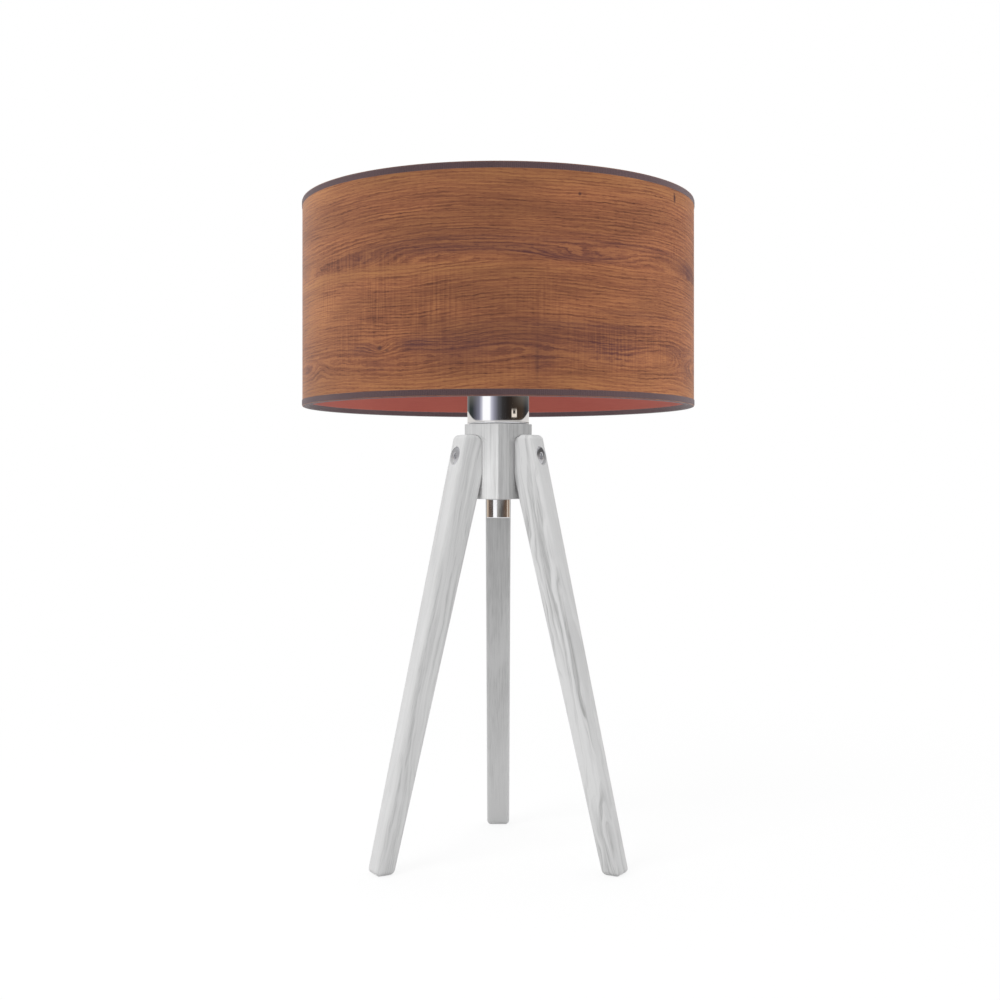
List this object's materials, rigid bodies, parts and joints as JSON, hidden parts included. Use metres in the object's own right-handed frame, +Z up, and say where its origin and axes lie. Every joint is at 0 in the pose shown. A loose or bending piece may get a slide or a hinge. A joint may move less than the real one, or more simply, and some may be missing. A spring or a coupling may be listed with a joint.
{
  "type": "tripod table lamp",
  "caption": "Table lamp with a wood-print drum shade on a chrome cup and hexagonal hub, standing on three splayed tapered wooden legs.",
  "frame": {"origin": "on the surface that the lamp stands on, centred between its three feet and under the shade's axis", "axes": "+Z up along the shade's axis; -Y is the front, with one leg at +Y and two in front of it"},
  "size_m": [0.3, 0.3, 0.501],
  "materials": {
    "whitewashed_ash": "white-washed open-grained ash, satin lacquer",
    "whitewashed_ash_hub": "white-washed ash, satin lacquer",
    "chrome_plate": "mirror",
    "brass": "plain",
    "zinc_steel": "zinc plated",
    "black_phenolic": "moulded",
    "ceramic": "unglazed",
    "oak_print_laminate": "printed oak grain, fine embossed texture",
    "copper_red_lining": "satin film",
    "binding_tape": "woven ribbon",
    "coated_wire": "white powder coat",
    "opal_glass": "opal white"
  },
  "bodies": {
    "stand": {"hub": "whitewashed_ash_hub", "leg_left": "whitewashed_ash", "leg_right": "whitewashed_ash", "leg_back": "whitewashed_ash", "leg_bolts": "chrome_plate", "bolt_washers": "chrome_plate", "threaded_inserts": "brass", "nipple": "zinc_steel", "outlet_sleeve": "chrome_plate", "chrome_cup": "chrome_plate", "nipple_nut": "zinc_steel", "holder_cap": "black_phenolic", "holder_skirt": "black_phenolic", "terminal_block": "ceramic", "screw_shell": "brass", "centre_contact": "brass", "terminal_screws": "brass", "lower_ring": "black_phenolic"},
    "shade": {"shade_skin": "oak_print_laminate", "shade_lining": "copper_red_lining", "tape_bottom": "binding_tape", "tape_top": "binding_tape", "ring_bottom": "coated_wire", "ring_top": "coated_wire", "spider_arm_left": "coated_wire", "spider_arm_right": "coated_wire", "spider_arm_back": "coated_wire", "fitter_ring": "coated_wire"},
    "clamp": {"upper_ring": "black_phenolic"},
    "bulb": {"bulb_glass": "opal_glass", "bulb_cap": "zinc_steel", "bulb_insulator": "black_phenolic", "bulb_contact": "brass"}
  },
  "joints": [
    {"name": "shade_turn", "type": "hinge", "parent": "stand", "child": "shade", "pos_m": [0, 0, 0.3813], "axis": [0, 0, 1], "continuous": true},
    {"name": "clamp_unscrew", "type": "slide", "parent": "stand", "child": "clamp", "axis": [0, 0, 1], "range_m": [0, 0.01]},
    {"name": "bulb_unscrew", "type": "slide", "parent": "stand", "child": "bulb", "axis": [0, 0, 1], "range_m": [0, 0.15]}
  ]
}
